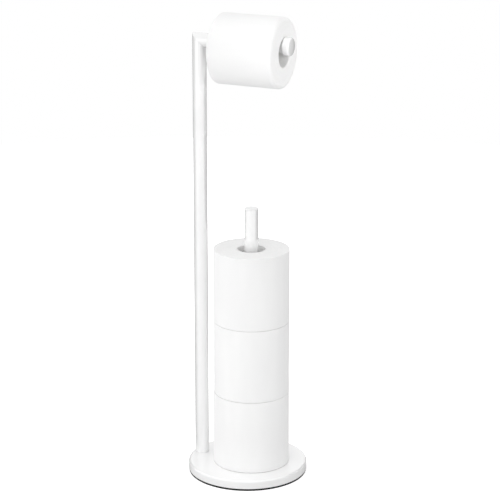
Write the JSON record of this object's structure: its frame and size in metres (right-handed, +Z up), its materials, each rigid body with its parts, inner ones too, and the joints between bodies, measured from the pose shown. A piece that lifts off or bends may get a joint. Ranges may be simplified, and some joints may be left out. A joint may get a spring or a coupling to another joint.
{
  "type": "toilet roll holder",
  "caption": "Free-standing toilet roll holder: weighted round base, tube post with a mitred arm and end knob for the roll in use, and a spindle that stores stacked spare rolls.",
  "frame": {"origin": "middle of the base's underside, on the surface that the holder stands on", "axes": "+Z up along the post, +X from the post along the arm towards its knob, +Y to the left of the arm"},
  "size_m": [0.164, 0.164, 0.6403],
  "materials": {
    "white_coat": "satin",
    "iron_casting": "matte",
    "black_pad": "matte",
    "plated_steel": "satin",
    "white_plastic": "satin",
    "tissue": "matte",
    "core_board": "matte"
  },
  "bodies": {
    "stand": {"base_pad": "black_pad", "base_weight": "iron_casting", "base_cover": "white_coat", "post_tube": "white_coat", "post_foot_plug": "plated_steel", "arm_tube": "white_coat", "arm_end_plug": "plated_steel", "knob_stud": "plated_steel", "arm_knob": "white_coat", "spindle_tube": "white_coat", "spindle_foot_plug": "plated_steel", "spindle_cap": "white_plastic", "fixing_screws": "plated_steel", "lock_washers": "plated_steel", "flat_washers": "plated_steel"},
    "arm_roll": {"arm_roll_paper": "tissue", "arm_roll_core": "core_board"},
    "spare_roll_bottom": {"spare_roll_bottom_paper": "tissue", "spare_roll_bottom_core": "core_board"},
    "spare_roll_middle": {"spare_roll_middle_paper": "tissue", "spare_roll_middle_core": "core_board"},
    "spare_roll_top": {"spare_roll_top_paper": "tissue", "spare_roll_top_core": "core_board"}
  },
  "joints": [
    {"name": "arm_roll_spin", "type": "hinge", "parent": "stand", "child": "arm_roll", "pos_m": [0.0063, 0, 0.5928], "axis": [1, 0, 0], "continuous": true},
    {"name": "spare_top_lift", "type": "slide", "parent": "stand", "child": "spare_roll_top", "axis": [0, 0, 1], "range_m": [0, 0.165]},
    {"name": "spare_middle_turn", "type": "hinge", "parent": "stand", "child": "spare_roll_middle", "pos_m": [0.0058, 0, 0.1681], "axis": [0, 0, 1], "continuous": true},
    {"name": "spare_bottom_turn", "type": "hinge", "parent": "stand", "child": "spare_roll_bottom", "pos_m": [0.0058, 0, 0.0658], "axis": [0, 0, 1], "continuous": true}
  ]
}
